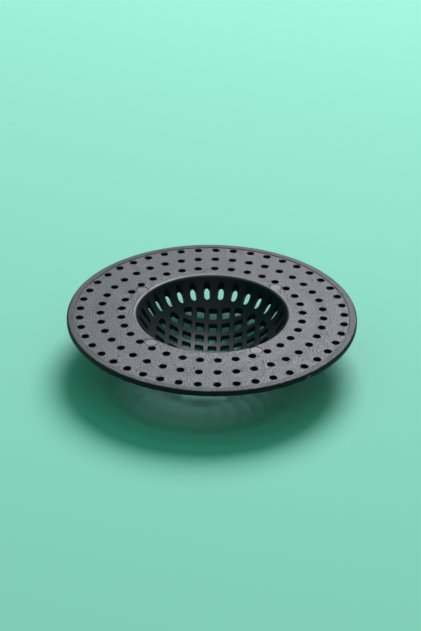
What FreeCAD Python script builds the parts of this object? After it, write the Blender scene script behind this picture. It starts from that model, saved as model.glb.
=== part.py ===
import FreeCAD, Part
import math
import os

# A kitchen sink strainer, moulded in one piece: a round perforated flange that lies
# on the sink and a round bowl that hangs through the outlet.
# Millimetres, Z up, origin at the middle of the flat foot under the bowl.
# Every opening runs straight up and down, the way the two mould halves part.

# Flange and rim
FLANGE_DIAMETER = 110.0
FLANGE_THICKNESS = 2.0
FLANGE_FALL = 1.9            # degrees, the flange drops a little towards the rim
RIM_WIDTH = 2.9
RIM_RISE = 0.2               # the rim stands proud of the flange by this much
RIM_TOP_RADIUS = 0.75
RIM_UNDER_RADIUS = 0.3

# Bowl
BOWL_RADIUS = 30.7           # inside of the bowl, a part of a ball
BOWL_DEPTH = 19.45           # flange top at the mouth down to the inside floor
BOWL_WALL = 1.35
LIP_RADIUS = 0.5             # rounding where the flange turns down into the bowl
UNDER_FILLET = 0.6           # outside corner between the bowl and the flange
FOOT_DIAMETER = 10.0         # flat under the bowl

# Round holes in the flange
HOLE_DIAMETER = 3.0
INNER_RING_HOLES = 33
HOLES_MORE_PER_RING = 6      # each ring outwards has this many more
RING_STEP = 7.9              # wished distance from ring to ring
LIP_TO_INNER_RING = 5.35     # lip edge to the middle of the first holes
OUTER_RING_TO_RIM = 1.9      # middle of the last holes to the rim step

# Openings in the bowl
GRID_HOLE = 2.7              # square holes in the floor
GRID_BAR = 2.25
SLOT_COUNT = 30
SLOT_WIDTH = 2.0
SLOT_BELOW_LIP = 1.55        # lip edge inwards to the upper end of a slot
SLOT_LENGTH = 3.2            # as seen from straight above
HOOP_WIDTH = 2.0             # plain hoop left between the slots and the grid

# Marks left by the four ejector pins, each beside the mouth between two holes
MARK_DIAMETER = 5.0
MARK_DEPTH = 0.25
MARK_FROM_LIP = 0.03
MARK_AFTER_HOLE = (5, 12, 19, 28)

# Sizes that follow
UP = FreeCAD.Vector(0, 0, 1)
OVER = 1.0                   # how far a cutter reaches past what it cuts
fall = math.radians(FLANGE_FALL)
flange_radius = FLANGE_DIAMETER / 2
step_radius = flange_radius - RIM_WIDTH
foot_radius = FOOT_DIAMETER / 2
outside_radius = BOWL_RADIUS + BOWL_WALL
ball_height = math.sqrt(outside_radius ** 2 - foot_radius ** 2)
mouth_height = BOWL_WALL + BOWL_DEPTH

# The lip is a circle that touches the flange above it and the bowl beside it
lip_middle_z = mouth_height - LIP_RADIUS * math.cos(fall)
lip_middle_r = math.sqrt((BOWL_RADIUS + LIP_RADIUS) ** 2 - (ball_height - lip_middle_z) ** 2)
mouth_radius = lip_middle_r + LIP_RADIUS * math.sin(fall)
lip_share = BOWL_RADIUS / (BOWL_RADIUS + LIP_RADIUS)
lip_end_r = lip_middle_r * lip_share
lip_end_z = ball_height + (lip_middle_z - ball_height) * lip_share

slot_outer_end = mouth_radius - SLOT_BELOW_LIP
slot_inner_end = slot_outer_end - SLOT_LENGTH
grid_radius = slot_inner_end - HOOP_WIDTH
grid_pitch = GRID_HOLE + GRID_BAR


def flange_top(r):
    """Height of the flange's upper face at radius r."""
    return mouth_height - (r - mouth_radius) * math.tan(fall)


def flange_under(r):
    """Height of the flange's lower face at radius r."""
    return flange_top(r) - FLANGE_THICKNESS


def ball(radius, r):
    """Height of the lower half of a ball round the bowl's middle at radius r."""
    return ball_height - math.sqrt(radius ** 2 - r ** 2)


def point(r, z):
    return FreeCAD.Vector(r, 0, z)


def line(a, b):
    return Part.LineSegment(point(*a), point(*b)).toShape()


def arc(a, middle, b):
    return Part.Arc(point(*a), point(*middle), point(*b)).toShape()


def round_corner(middle, radius, start, end):
    """Quarter or part circle about a middle point, angles in degrees from outwards."""
    ends = []
    for angle in (start, (start + end) / 2, end):
        turn = math.radians(angle)
        ends.append((middle[0] + radius * math.cos(turn), middle[1] + radius * math.sin(turn)))
    return arc(*ends)


def upright(x, y, radius, low, high):
    """Upright cylinder between two heights."""
    return Part.makeCylinder(radius, high - low, FreeCAD.Vector(x, y, low), UP)


def prism(edges, low, high):
    """Flat outline drawn at height zero, raised into a block between two heights."""
    face = Part.Face(Part.Wire(edges))
    face.translate(UP * low)
    return face.extrude(UP * (high - low))


def zone(blank, inner, outer):
    """The part of the blank between two upright cylinders about the axis."""
    kept = upright(0, 0, outer, -OVER, mouth_height + OVER)
    if inner > 0:
        kept = kept.cut(upright(0, 0, inner, -2 * OVER, mouth_height + 2 * OVER))
    return blank.common(kept)


def save(shape, node):
    solid = shape.removeSplitter().Solids
    if len(solid) != 1:
        raise ValueError(node + " came out as " + str(len(solid)) + " solids")
    solid[0].exportStep("parts/" + node + ".step")


# Plain section of the moulding, spun about the axis
step_top = flange_top(step_radius)
step_under = flange_under(step_radius)
rim_top = step_top + RIM_RISE
inside_floor_r = math.sqrt(BOWL_RADIUS ** 2 - (ball_height - BOWL_WALL) ** 2)
inside_mid_r = (inside_floor_r + lip_end_r) / 2

# Height and radius where the outside of the bowl runs into the flange's lower face
slope = math.tan(fall)
under_at_axis = flange_under(0) - ball_height
corner_r = (under_at_axis * slope
            + math.sqrt(outside_radius ** 2 * (1 + slope ** 2) - under_at_axis ** 2)) / (1 + slope ** 2)
corner_z = flange_under(corner_r)
outside_mid_r = (foot_radius + corner_r) / 2

lip_turn = math.degrees(math.atan2(ball_height - lip_middle_z, lip_middle_r))
section = [
    line((0, BOWL_WALL), (inside_floor_r, BOWL_WALL)),
    arc((inside_floor_r, BOWL_WALL), (inside_mid_r, ball(BOWL_RADIUS, inside_mid_r)), (lip_end_r, lip_end_z)),
    round_corner((lip_middle_r, lip_middle_z), LIP_RADIUS, 180 - lip_turn, 90 - FLANGE_FALL),
    line((mouth_radius, mouth_height), (step_radius, step_top)),
    line((step_radius, step_top), (step_radius, rim_top)),
    line((step_radius, rim_top), (flange_radius - RIM_TOP_RADIUS, rim_top)),
    round_corner((flange_radius - RIM_TOP_RADIUS, rim_top - RIM_TOP_RADIUS), RIM_TOP_RADIUS, 90, 0),
    line((flange_radius, rim_top - RIM_TOP_RADIUS), (flange_radius, step_under + RIM_UNDER_RADIUS)),
    round_corner((flange_radius - RIM_UNDER_RADIUS, step_under + RIM_UNDER_RADIUS), RIM_UNDER_RADIUS, 0, -90),
    line((flange_radius - RIM_UNDER_RADIUS, step_under), (step_radius, step_under)),
    line((step_radius, step_under), (corner_r, corner_z)),
    arc((corner_r, corner_z), (outside_mid_r, ball(outside_radius, outside_mid_r)), (foot_radius, 0)),
    line((foot_radius, 0), (0, 0)),
    line((0, 0), (0, BOWL_WALL)),
]
moulding = Part.Face(Part.Wire(section)).revolve(FreeCAD.Vector(0, 0, 0), UP, 360)
under_corner = []
for edge in moulding.Edges:
    box = edge.BoundBox
    if abs(box.ZMin - corner_z) < 1e-4 and abs(box.ZMax - corner_z) < 1e-4 and abs(box.XMax - corner_r) < 1e-3:
        under_corner.append(edge)
moulding = moulding.makeFillet(UNDER_FILLET, under_corner)

os.makedirs("parts", exist_ok=True)

# Rim: the raised outer band with a level underside that seats on the sink
save(zone(moulding, step_radius, flange_radius + OVER), "rim")

# Flange: rings of round holes, one hole of each ring on the +Y side
first_ring = mouth_radius + LIP_TO_INNER_RING
last_ring = step_radius - OUTER_RING_TO_RIM
ring_gaps = max(1, round((last_ring - first_ring) / RING_STEP))
cutters = []
for ring in range(ring_gaps + 1):
    ring_radius = first_ring + (last_ring - first_ring) * ring / ring_gaps
    holes = INNER_RING_HOLES + ring * HOLES_MORE_PER_RING
    for hole in range(holes):
        turn = math.radians(90 + hole * 360 / holes)
        x = ring_radius * math.cos(turn)
        y = ring_radius * math.sin(turn)
        cutters.append(upright(x, y, HOLE_DIAMETER / 2, 0, mouth_height + OVER))

# The pin marks are level, shallow and tangent to the lip
mark_radius = mouth_radius + MARK_FROM_LIP + MARK_DIAMETER / 2
mark_floor = flange_top(mark_radius) - MARK_DEPTH
for hole in MARK_AFTER_HOLE:
    turn = math.radians(90 + (hole + 0.5) * 360 / INNER_RING_HOLES)
    x = mark_radius * math.cos(turn)
    y = mark_radius * math.sin(turn)
    cutters.append(upright(x, y, MARK_DIAMETER / 2, mark_floor, mouth_height + OVER))
save(zone(moulding, mouth_radius, step_radius).cut(Part.makeCompound(cutters)), "flange")

# Bowl wall: upright slots with round ends, one of them on the +X side
hoop_radius = grid_radius + HOOP_WIDTH / 2
half = SLOT_WIDTH / 2
near = slot_inner_end + half
far = slot_outer_end - half
slot_edges = [
    Part.LineSegment(FreeCAD.Vector(near, -half, 0), FreeCAD.Vector(far, -half, 0)).toShape(),
    Part.Arc(FreeCAD.Vector(far, -half, 0), FreeCAD.Vector(far + half, 0, 0), FreeCAD.Vector(far, half, 0)).toShape(),
    Part.LineSegment(FreeCAD.Vector(far, half, 0), FreeCAD.Vector(near, half, 0)).toShape(),
    Part.Arc(FreeCAD.Vector(near, half, 0), FreeCAD.Vector(near - half, 0, 0), FreeCAD.Vector(near, -half, 0)).toShape(),
]
slot = prism(slot_edges, 0, mouth_height)
cutters = []
for number in range(SLOT_COUNT):
    turned = slot.copy()
    turned.rotate(FreeCAD.Vector(0, 0, 0), UP, number * 360 / SLOT_COUNT)
    cutters.append(turned)
save(zone(moulding, hoop_radius, mouth_radius).cut(Part.makeCompound(cutters)), "bowl_wall")

# Bowl floor: a square grid with one hole on the axis, trimmed to a circle
size = FreeCAD.Vector(GRID_HOLE, GRID_HOLE, mouth_height)
block = Part.makeBox(size.x, size.y, size.z, FreeCAD.Vector(-size.x / 2, -size.y / 2, -OVER))
trim = upright(0, 0, grid_radius, -2 * OVER, mouth_height + OVER)
reach = int(grid_radius // grid_pitch) + 1
cutters = []
for column in range(-reach, reach + 1):
    for row in range(-reach, reach + 1):
        x = column * grid_pitch
        y = row * grid_pitch
        if math.hypot(x, y) > grid_radius:
            continue
        opening = block.copy()
        opening.translate(FreeCAD.Vector(x, y, 0))
        if math.hypot(abs(x) + GRID_HOLE / 2, abs(y) + GRID_HOLE / 2) > grid_radius:
            opening = opening.common(trim)
        cutters.append(opening)
save(zone(moulding, 0, hoop_radius).cut(Part.makeCompound(cutters)), "bowl_floor")
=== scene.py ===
import math
import bpy
from mathutils import Matrix, Vector
from mathutils.geometry import delaunay_2d_cdt


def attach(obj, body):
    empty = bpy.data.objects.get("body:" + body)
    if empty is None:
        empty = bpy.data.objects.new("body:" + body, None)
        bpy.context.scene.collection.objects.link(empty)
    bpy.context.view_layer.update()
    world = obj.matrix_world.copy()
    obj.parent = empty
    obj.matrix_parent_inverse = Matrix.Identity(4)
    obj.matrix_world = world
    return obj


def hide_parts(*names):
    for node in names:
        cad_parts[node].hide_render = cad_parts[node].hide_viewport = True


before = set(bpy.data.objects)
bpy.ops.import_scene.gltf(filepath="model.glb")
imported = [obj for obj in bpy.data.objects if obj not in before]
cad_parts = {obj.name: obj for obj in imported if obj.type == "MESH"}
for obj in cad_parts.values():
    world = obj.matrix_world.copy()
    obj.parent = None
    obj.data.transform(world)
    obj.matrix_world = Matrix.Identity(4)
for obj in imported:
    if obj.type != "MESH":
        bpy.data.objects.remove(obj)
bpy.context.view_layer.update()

# Flange: the broad ring that lies on the sink, a shallow cone of charcoal plastic.
# It is moulded with three rings of round drain holes, and four ejector pins have
# left level discs beside the mouth. Its face keeps the mould's fine eroded grain.
MM = 0.001
FLANGE_EDGE = 52.1
FLANGE_THICKNESS = 2.0
FALL = math.radians(1.9)
BALL_RADIUS = 30.7
WALL = 1.35
DEPTH = 19.45
FOOT = 5.0
LIP = 1.2
UNDER_FILLET = 0.6
MOUTH = 29.0760
OUTSIDE = BALL_RADIUS + WALL
BALL_HEIGHT = math.sqrt(OUTSIDE ** 2 - FOOT ** 2)
MOUTH_HEIGHT = WALL + DEPTH
INSIDE_FLAT = math.sqrt(BALL_RADIUS ** 2 - (BALL_HEIGHT - WALL) ** 2)
top_level = MOUTH_HEIGHT + MOUTH * math.tan(FALL)
under_level = top_level - FLANGE_THICKNESS


def rolled(ball, level, rounding):
    """Radius and height of the middle of the rounding between the bowl and the flange."""
    steep = math.tan(FALL)
    drop = level - rounding / math.cos(FALL) - BALL_HEIGHT
    spread = 1 + steep ** 2
    r = (drop * steep + math.sqrt((ball + rounding) ** 2 * spread - drop ** 2)) / spread
    return r, BALL_HEIGHT + drop - r * steep


LIP_R, LIP_Z = rolled(BALL_RADIUS, top_level, LIP)
LIP_END = LIP_R * BALL_RADIUS / (BALL_RADIUS + LIP)
LIP_EDGE = LIP_R + LIP * math.sin(FALL)
FILLET_R, FILLET_Z = rolled(OUTSIDE, under_level, UNDER_FILLET)
FILLET_IN = FILLET_R * OUTSIDE / (OUTSIDE + UNDER_FILLET)
FILLET_OUT = FILLET_R + UNDER_FILLET * math.sin(FALL)


def top_height(r):
    """Height of the upper face: bowl inside, lip and flange top."""
    if r <= INSIDE_FLAT:
        return WALL
    if r <= LIP_END:
        return BALL_HEIGHT - math.sqrt(BALL_RADIUS ** 2 - r ** 2)
    if r <= LIP_EDGE:
        return LIP_Z + math.sqrt(LIP ** 2 - (r - LIP_R) ** 2)
    return top_level - r * math.tan(FALL)


def under_height(r):
    """Height of the lower face: foot, bowl outside, fillet and flange underside."""
    if r <= FOOT:
        return 0.0
    if r <= FILLET_IN:
        return BALL_HEIGHT - math.sqrt(OUTSIDE ** 2 - r ** 2)
    if r <= FILLET_OUT:
        return FILLET_Z + math.sqrt(UNDER_FILLET ** 2 - (r - FILLET_R) ** 2)
    return under_level - r * math.tan(FALL)


def face_normal(height, x, y, side):
    """Outward direction of a spun face at a point, side +1 for the top, -1 below."""
    r = math.hypot(x, y)
    if r < 1e-6:
        return Vector((0, 0, side))
    step = 1e-3
    rise = (height(r + step) - height(max(r - step, 0))) / (2 * step)
    return (Vector((-rise * x / r, -rise * y / r, 1)) * side).normalized()


def ring_points(radius, count, shift=0.0):
    turns = [2 * math.pi * (i + shift) / count for i in range(count)]
    return [(radius * math.cos(t), radius * math.sin(t)) for t in turns]


def hole_outline(core, turn_step, side_step=1.0):
    """Anticlockwise points round a hole, each as a core point and an outward direction.
    The core is one point for a round hole, two for a slot, a polygon for a square."""
    around = []
    for i, corner in enumerate(core):
        if len(core) == 1:
            count = round(2 * math.pi / turn_step)
            return [(corner, Vector(p)) for p in ring_points(1, count)]
        arriving = corner - core[i - 1]
        leaving = core[(i + 1) % len(core)] - corner
        start = math.atan2(arriving.y, arriving.x) - math.pi / 2
        turn = (math.atan2(leaving.y, leaving.x) - math.pi / 2 - start) % (2 * math.pi)
        steps = max(1, math.ceil(turn / turn_step))
        for k in range(steps + 1):
            angle = start + turn * k / steps
            around.append((corner, Vector((math.cos(angle), math.sin(angle)))))
        stops = int(leaving.length / side_step)
        for k in range(1, stops + 1):
            around.append((corner + leaving * k / (stops + 1), around[-1][1]))
    return around


EDGE_SLACK = 0.01


class Shell:
    """Corners with their own shading directions, and faces, of one moulded zone."""

    def __init__(self):
        self.points = []
        self.normals = []
        self.faces = []
        self.flat = set()
        self.finish = {}

    def add(self, x, y, z, normal):
        self.points.append((x * MM, y * MM, z * MM))
        self.normals.append(normal.normalized())
        return len(self.points) - 1

    def strip(self, upper, lower, flat=False, finish=0):
        """Quads between two closed rows of corners."""
        for i in range(len(upper)):
            j = (i + 1) % len(upper)
            if flat:
                self.flat.add(len(self.faces))
            self.finish[len(self.faces)] = finish
            self.faces.append((upper[i], upper[j], lower[j], lower[i]))

    def cap(self, row, middle, finish=0):
        """Triangles from a closed row of corners to its middle."""
        for i in range(len(row)):
            self.finish[len(self.faces)] = finish
            self.faces.append((row[i], row[(i + 1) % len(row)], middle))

    def refinish(self, finish, inner, outer):
        """Gives one finish to the upper faces between two radii."""
        for number, face in enumerate(self.faces):
            reach = [math.hypot(*self.points[corner][:2]) / MM for corner in face]
            low = min(self.points[corner][2] for corner in face) / MM
            within_reach = inner - EDGE_SLACK < min(reach) and max(reach) < outer + EDGE_SLACK
            if within_reach and low > under_level:
                self.finish[number] = finish

    def piece(self, name, *nodes):
        """The finished object, standing for its CAD nodes."""
        mesh = bpy.data.meshes.new(name)
        mesh.from_pydata(self.points, [], self.faces)
        mesh.shade_smooth()
        shading = []
        for polygon in mesh.polygons:
            polygon.material_index = self.finish.get(polygon.index, 0)
            for corner in polygon.vertices:
                own = polygon.index in self.flat
                shading.append(polygon.normal.copy() if own else self.normals[corner])
        mesh.normals_split_custom_set(shading)
        made = bpy.data.objects.new(name, mesh)
        bpy.context.scene.collection.objects.link(made)
        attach(made, "root")
        if nodes:
            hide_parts(*nodes)
        return made


def within(loop, spot):
    """Whether a plan point lies inside a closed loop of plan points."""
    odd = False
    for i, p in enumerate(loop):
        q = loop[i - 1]
        if (p[1] > spot[1]) != (q[1] > spot[1]):
            if spot[0] < p[0] + (spot[1] - p[1]) * (q[0] - p[0]) / (q[1] - p[1]):
                odd = not odd
    return odd


def cover(shell, height, side, loops, spots):
    """Triangulates one face of a zone between its loops of plan points.
    The first loop is the outer edge, the rest are open."""
    plan = []
    edges = []
    owner = []
    for number, loop in enumerate(loops):
        first = len(plan)
        for k, p in enumerate(loop):
            plan.append(Vector(p))
            owner.append(number)
            edges.append((first + k, first + (k + 1) % len(loop)))
    for p in spots:
        plan.append(Vector(p))
        owner.append(-1)
    found = delaunay_2d_cdt(plan, edges, [], 0, 1e-6)
    source = [names[0] for names in found[3]]
    index = {}
    for k, p in enumerate(plan):
        r = math.hypot(p.x, p.y)
        index[k] = shell.add(p.x, p.y, height(r), face_normal(height, p.x, p.y, side))
    for triangle in found[2]:
        a, b, c = (source[k] for k in triangle)
        if owner[a] == owner[b] == owner[c] and owner[a] > 0:
            if within(loops[owner[a]], (plan[a] + plan[b] + plan[c]) / 3):
                continue
        area = (plan[b] - plan[a]).cross(plan[c] - plan[a])
        if area * side < 0:
            b, c = c, b
        shell.faces.append((index[a], index[b], index[c]))
    rows = []
    start = 0
    for loop in loops:
        rows.append([index[start + k] for k in range(len(loop))])
        start += len(loop)
    return rows


ROUNDING_STEPS = 3


def rounded_rows(shell, outline, radius, edge, height, side):
    """Rows of corners that roll over a hole's edge, from the face into the hole."""
    rows = []
    for step in range(1, ROUNDING_STEPS + 1):
        angle = math.pi / 2 * step / ROUNDING_STEPS
        row = []
        for core, away in outline:
            p = core + away * (radius + edge * (1 - math.sin(angle)))
            upright = face_normal(height, p.x, p.y, side)
            z = height(p.length) - edge * (1 - math.cos(angle)) / upright.z
            facing = upright * math.cos(angle) - away.to_3d() * math.sin(angle)
            row.append(shell.add(p.x, p.y, z, facing))
        rows.append(row)
    return rows


def pierced_zone(shell, inner, outer, holes, spots, edge, marks=(), hole_shade_finish=0):
    """A ring or disc of the moulding with holes as (upper radius, lower radius, outline).
    Marks are level discs in a narrow groove, as (middle, radius, disc height)."""
    rims = [ring_points(outer, EDGE_POINTS)]
    if inner > 0:
        rims.append(ring_points(inner, EDGE_POINTS))
    mouths = []
    for level in (0, 1):
        mouths.append([[core + away * (hole[level] + edge) for core, away in hole[2]]
                       for hole in holes])
    clear = []
    for p in spots:
        spot = Vector(p)
        near = any(min((spot - q).length for q in mouth) < SPOT_GAP or within(mouth, spot)
                   for mouth in mouths[0] if (spot - mouth[0]).length < SPOT_REACH)
        if not near:
            clear.append(spot)
    discs = []
    for middle, radius, floor in marks:
        outline = hole_outline([middle], MARK_TURN)
        discs.append([core + away * (radius + MARK_EDGE) for core, away in outline])
    above = [p for p in clear if all((p - m).length > r + SPOT_GAP for m, r, f in marks)]
    tops = cover(shell, top_height, 1, rims + mouths[0] + discs, above)
    lows = cover(shell, under_height, -1, rims + mouths[1], clear)
    first_hole = len(rims)
    for number, (upper_radius, lower_radius, outline) in enumerate(holes):
        down = rounded_rows(shell, outline, upper_radius, edge, top_height, 1)
        up = rounded_rows(shell, outline, lower_radius, edge, under_height, -1)
        rows = [tops[first_hole + number], *down, *reversed(up), lows[first_hole + number]]
        # The straight hole wall can take its own finish; on the flange it is a darker pigment,
        # painted shade inside the hole.
        for upper, lower in zip(rows, rows[1:]):
            shell.strip(upper, lower, finish=hole_shade_finish if upper is down[-1] else 0)
    for number, (middle, radius, floor) in enumerate(marks):
        outline = hole_outline([middle], MARK_TURN)
        rows = [tops[first_hole + len(holes) + number]]
        disc = radius - MARK_GROOVE
        deep = floor - MARK_GROOVE_DEPTH
        for reach, z in ((radius, deep), (disc, deep),
                         (disc, floor - MARK_EDGE), (disc - MARK_EDGE, floor)):
            rows.append([shell.add(*(core + away * reach), z, Vector((0, 0, 1)))
                         for core, away in outline])
        # The groove round each disc takes finish 1, a darker pigment: painted shade in the groove.
        for upper, lower in zip(rows, rows[1:]):
            shell.strip(upper, lower, flat=True, finish=1)
        shell.cap(rows[-1], shell.add(*middle, floor, Vector((0, 0, 1))), finish=2)
    shell.strip(lows[0], tops[0], flat=True)
    if inner > 0:
        shell.strip(tops[1], lows[1], flat=True)


EDGE_POINTS = 360
SPOT_GAP = 0.2
SPOT_REACH = 6.0
MARK_EDGE = 0.02
MARK_TURN = math.radians(7.5)
HOLE_RADIUS = 1.5
HOLE_UNDER_RADIUS = 1.35
HOLE_EDGE = 0.12
HOLE_TURN = math.radians(12)
INNER_RING = MOUTH + 5.35
OUTER_RING = FLANGE_EDGE - 1.9
RING_HOLES = (33, 39, 45)
MARK_RADIUS = 2.5
MARK_DEPTH = 0.1
MARK_GROOVE = 0.24
MARK_GROOVE_DEPTH = 0.15
MARK_FROM_LIP = 0.03
MARK_AFTER_HOLE = (5, 12, 19, 28)
FLANGE_SPOT_RINGS = 16
LIP_SPOT_RINGS = 3

flange_holes = []
for ring, count in enumerate(RING_HOLES):
    radius = INNER_RING + (OUTER_RING - INNER_RING) * ring / (len(RING_HOLES) - 1)
    for x, y in ring_points(radius, count, count / 4):
        middle = Vector((x, y))
        flange_holes.append((HOLE_RADIUS, HOLE_UNDER_RADIUS, hole_outline([middle], HOLE_TURN)))
pin_marks = []
mark_ring = MOUTH + MARK_FROM_LIP + MARK_RADIUS
for hole in MARK_AFTER_HOLE:
    turn = math.pi / 2 + 2 * math.pi * (hole + 0.5) / RING_HOLES[0]
    middle = Vector((mark_ring * math.cos(turn), mark_ring * math.sin(turn)))
    pin_marks.append((middle, MARK_RADIUS, top_height(mark_ring) - MARK_DEPTH))
flange_spots = []
for ring in range(1, FLANGE_SPOT_RINGS):
    radius = MOUTH + (FLANGE_EDGE - MOUTH) * ring / FLANGE_SPOT_RINGS
    flange_spots += ring_points(radius, 120 + 4 * ring)
for ring in range(1, LIP_SPOT_RINGS + 1):
    radius = MOUTH + (LIP_EDGE - MOUTH) * ring / LIP_SPOT_RINGS
    flange_spots += ring_points(radius, EDGE_POINTS, ring / 2)
flange_shell = Shell()
# The flange's hole walls take finish 1, the darker pigment painted as shade in the holes.
pierced_zone(flange_shell, MOUTH, FLANGE_EDGE, flange_holes, flange_spots, HOLE_EDGE,
             pin_marks, hole_shade_finish=1)
flange_shell.refinish(2, MOUTH, LIP_EDGE)
flange = flange_shell.piece("flange_moulded", "flange")


def node(tree, kind, **inputs):
    """A shader node with some of its inputs set or linked."""
    made = tree.nodes.new(kind)
    for key, value in inputs.items():
        socket = made.inputs[key.replace("_", " ")]
        if isinstance(value, bpy.types.NodeSocket):
            tree.links.new(value, socket)
        else:
            socket.default_value = value
    return made


# Charcoal plastic as it leaves the mould: pigment that drifts a little in the flow,
# and the pits of the eroded mould face, given as a colour, a roughness and a height.
grain = bpy.data.node_groups.new("charcoal_grain", "ShaderNodeTree")
for title, kind in (("Pigment", "NodeSocketColor"), ("Pit size mm", "NodeSocketFloat"),
                    ("Roughness", "NodeSocketFloat"), ("Patchiness", "NodeSocketFloat")):
    grain.interface.new_socket(title, in_out="INPUT", socket_type=kind)
for title, kind in (("Colour", "NodeSocketColor"), ("Roughness", "NodeSocketFloat"),
                    ("Pits", "NodeSocketFloat")):
    grain.interface.new_socket(title, in_out="OUTPUT", socket_type=kind)
asked = grain.nodes.new("NodeGroupInput")
given = grain.nodes.new("NodeGroupOutput")
place = grain.nodes.new("ShaderNodeTexCoord")
per_mm = node(grain, "ShaderNodeMath")
per_mm.operation = "DIVIDE"
per_mm.inputs[0].default_value = 1000.0
grain.links.new(asked.outputs["Pit size mm"], per_mm.inputs[1])
pits = node(grain, "ShaderNodeTexNoise", Vector=place.outputs["Object"],
            Scale=per_mm.outputs[0], Detail=1.0, Roughness=0.5)
drift = node(grain, "ShaderNodeTexNoise", Vector=place.outputs["Object"],
             Scale=70.0, Detail=4.0, Roughness=0.55)
shade = node(grain, "ShaderNodeMapRange", Value=drift.outputs["Fac"],
             From_Min=0.3, From_Max=0.7, To_Min=0.88, To_Max=1.12)
speck = node(grain, "ShaderNodeMapRange", Value=pits.outputs["Fac"],
             From_Min=0.35, From_Max=0.7, To_Min=0.82, To_Max=1.2)
tone = node(grain, "ShaderNodeMath")
tone.operation = "MULTIPLY"
grain.links.new(shade.outputs["Result"], tone.inputs[0])
grain.links.new(speck.outputs["Result"], tone.inputs[1])
colour = node(grain, "ShaderNodeVectorMath")
colour.operation = "SCALE"
grain.links.new(asked.outputs["Pigment"], colour.inputs[0])
grain.links.new(tone.outputs[0], colour.inputs["Scale"])
grain.links.new(colour.outputs["Vector"], given.inputs["Colour"])
swing = node(grain, "ShaderNodeMath")
swing.operation = "MULTIPLY_ADD"
centred = node(grain, "ShaderNodeMath")
centred.operation = "SUBTRACT"
grain.links.new(drift.outputs["Fac"], centred.inputs[0])
centred.inputs[1].default_value = 0.5
grain.links.new(centred.outputs[0], swing.inputs[0])
grain.links.new(asked.outputs["Patchiness"], swing.inputs[1])
grain.links.new(asked.outputs["Roughness"], swing.inputs[2])
grain.links.new(swing.outputs[0], given.inputs["Roughness"])
grain.links.new(pits.outputs["Fac"], given.inputs["Pits"])

CHARCOAL = (0.021, 0.022, 0.024, 1.0)


def charcoal_plastic(name, pit_mm, roughness, patchiness, pit_depth_mm, sheen, pigment=CHARCOAL):
    """The moulding's plastic with the mould finish of one zone."""
    material = bpy.data.materials.new(name)
    material.use_nodes = True
    tree = material.node_tree
    skin = tree.nodes["Principled BSDF"]
    finish = tree.nodes.new("ShaderNodeGroup")
    finish.node_tree = grain
    finish.inputs["Pigment"].default_value = pigment
    finish.inputs["Pit size mm"].default_value = pit_mm
    finish.inputs["Roughness"].default_value = roughness
    finish.inputs["Patchiness"].default_value = patchiness
    tree.links.new(finish.outputs["Colour"], skin.inputs["Base Color"])
    tree.links.new(finish.outputs["Roughness"], skin.inputs["Roughness"])
    relief = node(tree, "ShaderNodeBump", Strength=1.0, Distance=pit_depth_mm * MM,
                  Height=finish.outputs["Pits"])
    tree.links.new(relief.outputs["Normal"], skin.inputs["Normal"])
    skin.inputs["IOR"].default_value = 1.55
    skin.inputs["Specular IOR Level"].default_value = sheen
    return material


# A darker pigment for hole walls and pin grooves: painted shade in those recesses.
HOLE_SHADE_PIGMENT = (0.010, 0.009, 0.010, 1.0)
flange.data.materials.append(charcoal_plastic(
    "grained_charcoal", pit_mm=0.55, roughness=0.335, patchiness=0.06, pit_depth_mm=0.36, sheen=0.65))
flange.data.materials.append(charcoal_plastic(
    "painted_hole_shade", pit_mm=0.4, roughness=0.7, patchiness=0.1, pit_depth_mm=0.02, sheen=0.12,
    pigment=HOLE_SHADE_PIGMENT))
flange.data.materials.append(charcoal_plastic(
    "pin_charcoal", pit_mm=0.4, roughness=0.44, patchiness=0.06, pit_depth_mm=0.01, sheen=0.65))

# Bowl wall: the lip where the flange turns down, and the steep upper wall below it.
# Moulded with the rest; upright slots with round ends pierce it all round.
HOOP = MOUTH - 5.75
SLOTS = 30
SLOT_HALF_WIDTH = 1.0
SLOT_INNER = MOUTH - 4.75
SLOT_OUTER = MOUTH - 1.55
SLOT_FLARE = 0.3
SLOT_EDGE = 0.1
SLOT_TURN = math.radians(15)
SLOT_SIDE_STEP = 0.5
WALL_SPOT_RINGS = 9
LIP_WALL_RINGS = 6
SPOTS_ROUND = 240

wall_holes = []
for number in range(SLOTS):
    turn = 2 * math.pi * number / SLOTS
    along = Vector((math.cos(turn), math.sin(turn)))
    core = [along * (SLOT_INNER + SLOT_HALF_WIDTH), along * (SLOT_OUTER - SLOT_HALF_WIDTH)]
    wall_holes.append((SLOT_HALF_WIDTH + SLOT_FLARE, SLOT_HALF_WIDTH,
                       hole_outline(core, SLOT_TURN, SLOT_SIDE_STEP)))
wall_spots = []
for ring in range(1, WALL_SPOT_RINGS + 1):
    radius = HOOP + (LIP_END - HOOP) * ring / WALL_SPOT_RINGS
    wall_spots += ring_points(radius, SPOTS_ROUND, ring / 2)
for ring in range(1, LIP_WALL_RINGS):
    radius = LIP_END + (MOUTH - LIP_END) * ring / LIP_WALL_RINGS
    wall_spots += ring_points(radius, SPOTS_ROUND, ring / 2)
wall_shell = Shell()
pierced_zone(wall_shell, HOOP, MOUTH, wall_holes, wall_spots, SLOT_EDGE)
wall_shell.refinish(1, LIP_END, MOUTH)
bowl_wall = wall_shell.piece("bowl_wall_moulded", "bowl_wall")
bowl_wall.data.materials.append(charcoal_plastic(
    "satin_charcoal", pit_mm=0.35, roughness=0.47, patchiness=0.10, pit_depth_mm=0.02, sheen=0.2))
bowl_wall.data.materials.append(flange.data.materials["pin_charcoal"])

# Bowl floor: a dished square grid that holds back the scraps, with a flat foot below.
# The same plastic with the polished finish of the core that formed it.
GRID_HOLE = 2.7
GRID_PITCH = 4.95
GRID_CORNER = 0.4
GRID_LIMIT = MOUTH - 6.75
GRID_FLARE = 0.33
GRID_EDGE = 0.1
GRID_TURN = math.radians(30)
GRID_SIDE_STEP = 0.7
LATTICE_PER_PITCH = 6
TRIM_SIDES = 240


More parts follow.
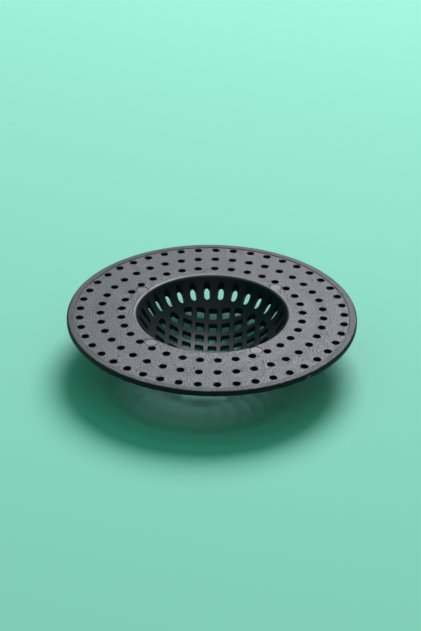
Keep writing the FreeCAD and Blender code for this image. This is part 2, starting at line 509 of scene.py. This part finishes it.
def clipped(polygon, direction, limit):
    """The part of a convex polygon within a straight line at a distance from the axis."""
    kept = []
    for i, p in enumerate(polygon):
        q = polygon[(i + 1) % len(polygon)]
        before = p.dot(direction) - limit
        after = q.dot(direction) - limit
        if before <= 0:
            kept.append(p)
        if before * after < 0:
            kept.append(p + (q - p) * (before / (before - after)))
    return kept


grid_holes = []
reach = int(GRID_LIMIT // GRID_PITCH) + 1
for column in range(-reach, reach + 1):
    for row in range(-reach, reach + 1):
        middle = Vector((column, row)) * GRID_PITCH
        if middle.length > GRID_LIMIT:
            continue
        half = GRID_HOLE / 2 - GRID_CORNER
        core = [middle + Vector(c) * half for c in ((-1, -1), (1, -1), (1, 1), (-1, 1))]
        if max(c.length for c in core) + GRID_CORNER > GRID_LIMIT:
            for side in ring_points(1, TRIM_SIDES):
                core = clipped(core, Vector(side), GRID_LIMIT - GRID_CORNER)
        grid_holes.append((GRID_CORNER + GRID_FLARE, GRID_CORNER,
                           hole_outline(core, GRID_TURN, GRID_SIDE_STEP)))
floor_spots = []
lattice = GRID_PITCH / LATTICE_PER_PITCH
lines = int(HOOP / lattice)
for i in range(-lines, lines + 1):
    for j in range(-lines, lines + 1):
        if math.hypot(i, j) * lattice < HOOP - SPOT_GAP:
            floor_spots.append((i * lattice, j * lattice))
floor_shell = Shell()
pierced_zone(floor_shell, 0, HOOP, grid_holes, floor_spots, GRID_EDGE)
bowl_floor = floor_shell.piece("bowl_floor_moulded", "bowl_floor")
bowl_floor.data.materials.append(bowl_wall.data.materials[0])

# Rim: the outer band, a little proud of the flange, with a rounded edge.
# It is level below, where it seats on the sink.
RIM_RADIUS = 55.0
RIM_RISE = 0.2
RIM_TOP = top_height(FLANGE_EDGE) + RIM_RISE
RIM_UNDER = under_height(FLANGE_EDGE)
RIM_ROUND = 0.75
RIM_UNDER_ROUND = 0.3
RIM_STEP_ROUND = 0.06
RIM_GROOVE = 0.2
RIM_GROOVE_DEPTH = 0.12
RIM_TOP_ROWS = 12
groove_floor = top_height(FLANGE_EDGE) - RIM_GROOVE_DEPTH
rim_foot = FLANGE_EDGE + RIM_GROOVE
rim_section = [(FLANGE_EDGE, groove_floor, (0, 1)), (rim_foot, groove_floor, (-0.7, 0.7))]
for middle_r, middle_z, rounding, start, end, steps in (
        (rim_foot + RIM_STEP_ROUND, RIM_TOP - RIM_STEP_ROUND, RIM_STEP_ROUND, 180, 90, 4),
        (RIM_RADIUS - RIM_ROUND, RIM_TOP - RIM_ROUND, RIM_ROUND, 90, 0, 10),
        (RIM_RADIUS - RIM_UNDER_ROUND, RIM_UNDER + RIM_UNDER_ROUND, RIM_UNDER_ROUND,
         0, -90, 6)):
    for k in range(steps + 1):
        angle = math.radians(start + (end - start) * k / steps)
        away = (math.cos(angle), math.sin(angle))
        rim_section.append((middle_r + rounding * away[0], middle_z + rounding * away[1], away))
rim_section.append((FLANGE_EDGE, RIM_UNDER, (0, -1)))
rim_shell = Shell()
rim_rows = []
for r, z, away in rim_section:
    rim_rows.append([rim_shell.add(x * r, y * r, z, Vector((x * away[0], y * away[0], away[1])))
                     for x, y in ring_points(1, EDGE_POINTS)])
# Rows past the middle of the rim's rounded top edge take finish 1, a darker pigment: painted shade on
# the outer wall and underside.
for number, (inner_row, outer_row) in enumerate(zip(rim_rows, rim_rows[1:])):
    rim_shell.strip(outer_row, inner_row, finish=0 if number < RIM_TOP_ROWS else 1)
rim_shell.strip(rim_rows[0], rim_rows[-1], flat=True)
rim = rim_shell.piece("rim_moulded", "rim")
# This darker pigment is painted shade for the rim's outer wall and underside.
RIM_WALL_SHADE_PIGMENT = (0.012, 0.011, 0.012, 1.0)
rim.data.materials.append(charcoal_plastic(
    "rim_charcoal", pit_mm=0.55, roughness=0.37, patchiness=0.06, pit_depth_mm=0.28, sheen=0.34))
rim.data.materials.append(charcoal_plastic(
    "rim_wall_shade_charcoal", pit_mm=0.4, roughness=0.5, patchiness=0.10, pit_depth_mm=0.02, sheen=0.12,
    pigment=RIM_WALL_SHADE_PIGMENT))

# Gate scar: the torn stub on the rim's edge where the plastic ran into the mould,
# in a pigment paler than the rest, and a speck of flash left on the far edge.
STUB_PALE = (0.20, 0.21, 0.21, 1.0)
STUB_SUNK = 0.2
STUB_TIP = 0.6
STUB_POINTS = 14
STUB_UNEVEN = 0.18


def stub(name, turn, height, width, tall, proud):
    """A small uneven lump on the rim's outer wall at one angle."""
    out = Vector((math.cos(turn), math.sin(turn), 0))
    along = Vector((-math.sin(turn), math.cos(turn), 0))
    shell = Shell()
    rows = []
    for depth, share in ((-STUB_SUNK, 1.0), (0.0, 1.0), (proud, STUB_TIP)):
        row = []
        for k, (x, y) in enumerate(ring_points(1, STUB_POINTS)):
            uneven = share * (1 + STUB_UNEVEN * math.sin(2.7 * k + 0.5))
            p = out * (RIM_RADIUS + depth) + along * (x * uneven * width / 2)
            facing = out + along * x * 0.5 + Vector((0, 0, y * 0.5))
            row.append(shell.add(p.x, p.y, height + y * uneven * tall / 2, facing))
        rows.append(row)
    for inside, outside in zip(rows, rows[1:]):
        shell.strip(inside, outside)
    front = out * (RIM_RADIUS + proud)
    shell.cap(rows[-1], shell.add(front.x, front.y, height, out))
    back = out * (RIM_RADIUS - STUB_SUNK)
    shell.cap(list(reversed(rows[0])), shell.add(back.x, back.y, height, -out))
    return shell.piece(name)


gate_scar = stub("gate_scar", math.radians(-48.4), RIM_UNDER + 0.95, width=1.7, tall=0.6, proud=0.15)
gate_scar.data.materials.append(charcoal_plastic(
    "pale_stub_charcoal", pit_mm=0.3, roughness=0.6, patchiness=0.1, pit_depth_mm=0.03, sheen=0.3,
    pigment=STUB_PALE))
# The speck takes the same darker pigment that paints shade on the rim's wall.
flash_speck = stub("flash_speck", math.radians(72.8), RIM_TOP - 0.35, width=0.5, tall=0.5, proud=0.2)
flash_speck.data.materials.append(rim.data.materials["rim_wall_shade_charcoal"])

# Ground: the plain mint sheet that the strainer stands on,
# matt coloured paper laid flat, far wider than the picture.
GROUND = (0.298, 0.66, 0.505, 1.0)
ground_mesh = bpy.data.meshes.new("ground")
GROUND_REACH = 4.0
ground_corners = [(x * GROUND_REACH, y * GROUND_REACH, 0)
                  for x, y in ((-1, -1), (1, -1), (1, 1), (-1, 1))]
ground_mesh.from_pydata(ground_corners, [], [(0, 1, 2, 3)])
ground = bpy.data.objects.new("ground", ground_mesh)
bpy.context.scene.collection.objects.link(ground)
paper = bpy.data.materials.new("mint_paper")
paper.use_nodes = True
paper_skin = paper.node_tree.nodes["Principled BSDF"]
paper_skin.inputs["Base Color"].default_value = GROUND
paper_skin.inputs["Roughness"].default_value = 0.9
paper_skin.inputs["Specular IOR Level"].default_value = 0.2
ground_mesh.materials.append(paper)

# Studio light: one soft lamp behind and a little to the right, a wide dim card in front
# that shows only in the plastic's sheen, and a room of the same mint as the ground.


def soft_lamp(name, toward, distance, size, energy, colour):
    """A round soft lamp that looks back at the strainer from one direction."""
    light = bpy.data.lights.new(name, "AREA")
    light.shape = "DISK"
    light.size = size
    light.energy = energy
    light.color = colour
    made = bpy.data.objects.new(name, light)
    aim = Vector(toward).normalized()
    made.location = aim * distance
    made.rotation_mode = "QUATERNION"
    made.rotation_quaternion = (-aim).to_track_quat("-Z", "Y")
    bpy.context.scene.collection.objects.link(made)
    return made


softbox = soft_lamp("softbox", (0.214, 0.874, 1.0), distance=1.6, size=0.95, energy=27.3,
                    colour=(1.055, 1.01, 1.12))
front_card = soft_lamp("front_card", (0.1, -0.75, 0.75), distance=1.2, size=1.7, energy=3.4,
                       colour=(1.0, 0.45, 0.66))
front_card.visible_diffuse = False
ROOM_LOW = (0.012, 0.035, 0.032, 1.0)
ROOM_HIGH = (0.085, 0.50, 0.375, 1.0)
room = bpy.data.worlds.new("room")
room.use_nodes = True
room_place = room.node_tree.nodes.new("ShaderNodeTexCoord")
room_depth = node(room.node_tree, "ShaderNodeSeparateXYZ", Vector=room_place.outputs["Generated"])
room_share = node(room.node_tree, "ShaderNodeMapRange", Value=room_depth.outputs["Z"],
                  From_Min=0.25, From_Max=1.0)
room_tone = room.node_tree.nodes.new("ShaderNodeMix")
room_tone.data_type = "RGBA"
room.node_tree.links.new(room_share.outputs["Result"], room_tone.inputs["Factor"])
# Inputs 6 and 7 and output 2 are the mix node's colour sockets.
room_tone.inputs[6].default_value = ROOM_LOW
room_tone.inputs[7].default_value = ROOM_HIGH
room.node_tree.links.new(room_tone.outputs[2], room.node_tree.nodes["Background"].inputs["Color"])
bpy.context.scene.world = room
bpy.context.scene.view_settings.view_transform = "Standard"

# Camera: the photograph's long lens, 30 degrees above the strainer.
ELEVATION = math.radians(30.483)
ROLL = math.radians(0.701)
SWING = math.radians(1.5)
AIM_HEIGHT = top_height(OUTER_RING)
AWAY = 806.74
OFF_RIGHT = 0.542
OFF_ABOVE = 0.645
right = Vector((1, 0, 0))
ahead = Vector((0, math.cos(ELEVATION), -math.sin(ELEVATION)))
above = Vector((0, math.sin(ELEVATION), math.cos(ELEVATION)))
spot = Vector((0, 0, AIM_HEIGHT)) - ahead * AWAY - right * OFF_RIGHT - above * OFF_ABOVE
rolled_right = right * math.cos(ROLL) + above * math.sin(ROLL)
rolled_up = above * math.cos(ROLL) - right * math.sin(ROLL)
turned = Matrix.Rotation(SWING, 4, "Z")
camera = bpy.data.objects.new("camera", bpy.data.cameras.new("camera"))
camera.data.sensor_width = 36.0
camera.data.lens = 121.34
camera.data.clip_start = 0.05
stand = Matrix((rolled_right, rolled_up, -ahead)).transposed().to_4x4()
stand.translation = spot * MM
camera.matrix_world = turned @ stand
bpy.context.scene.collection.objects.link(camera)
bpy.context.scene.camera = camera
